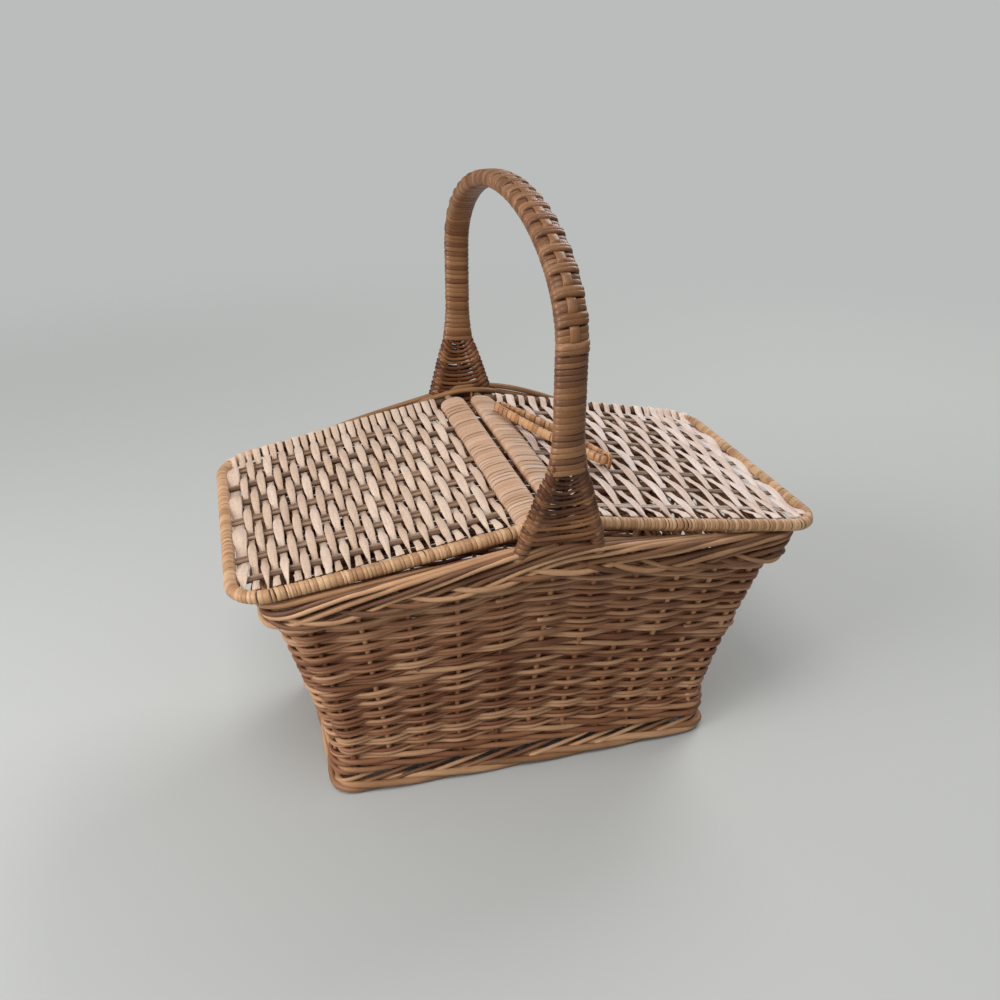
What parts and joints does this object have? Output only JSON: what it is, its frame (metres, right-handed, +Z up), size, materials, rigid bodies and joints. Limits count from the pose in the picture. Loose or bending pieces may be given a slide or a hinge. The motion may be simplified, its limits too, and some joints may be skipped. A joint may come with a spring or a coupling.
{
  "type": "picnic basket",
  "caption": "Woven willow basket with a bound hoop handle and two sloping lids that hinge under it, held by a cane closing loop.",
  "frame": {"origin": "centre of the base, on the surface that the basket stands on", "axes": "+X along the basket's length, from the left lid to the right lid; +Y through its depth, in the plane of the handle; +Z up"},
  "size_m": [0.4598, 0.324, 0.4737],
  "materials": {
    "body_willow": "round stained willow rods, dry satin",
    "lid_willow": "split willow strips, dry and matte",
    "bar_cane": "pale flat cane, closely bound, satin",
    "handle_cane": "golden brown flat cane, bound, satin",
    "loop_cane": "reddish brown cane, satin"
  },
  "bodies": {
    "basket": {"foot_border": "body_willow", "base_panel": "body_willow", "bottom_wale": "body_willow", "lower_siding": "body_willow", "middle_wale": "body_willow", "upper_siding": "body_willow", "rim_border": "body_willow", "corner_stake_front_left": "body_willow", "corner_stake_front_right": "body_willow", "corner_stake_back_left": "body_willow", "corner_stake_back_right": "body_willow", "handle_leg_front_left": "handle_cane", "handle_leg_front_right": "handle_cane", "handle_leg_back_left": "handle_cane", "handle_leg_back_right": "handle_cane", "handle_bow": "handle_cane", "handle_leader": "handle_cane", "handle_web_front": "handle_cane", "handle_web_back": "handle_cane", "hinge_tie_front_left": "bar_cane", "hinge_tie_front_right": "bar_cane", "hinge_tie_back_left": "bar_cane", "hinge_tie_back_right": "bar_cane"},
    "lid_left": {"lid_left_bar": "bar_cane", "lid_left_hinge_stick": "body_willow", "lid_left_rod": "handle_cane", "lid_left_panel": "lid_willow"},
    "lid_right": {"lid_right_bar": "bar_cane", "lid_right_hinge_stick": "body_willow", "lid_right_rod": "handle_cane", "lid_right_panel": "lid_willow", "loop_tie": "loop_cane"},
    "closing_loop": {"closing_loop": "loop_cane"}
  },
  "joints": [
    {"name": "lid_left_hinge", "type": "hinge", "parent": "basket", "child": "lid_left", "pos_m": [-0.014, 0, 0.252], "axis": [0, 1, 0], "range_deg": [0, 97]},
    {"name": "lid_right_hinge", "type": "hinge", "parent": "basket", "child": "lid_right", "pos_m": [0.014, 0, 0.252], "axis": [0, -1, 0], "range_deg": [0, 97]},
    {"name": "closing_loop_swivel", "type": "hinge", "parent": "lid_right", "child": "closing_loop", "pos_m": [0.07668, -0.028, 0.25074], "axis": [0.1682, 0, 0.9858], "range_deg": [-60, 0]}
  ]
}
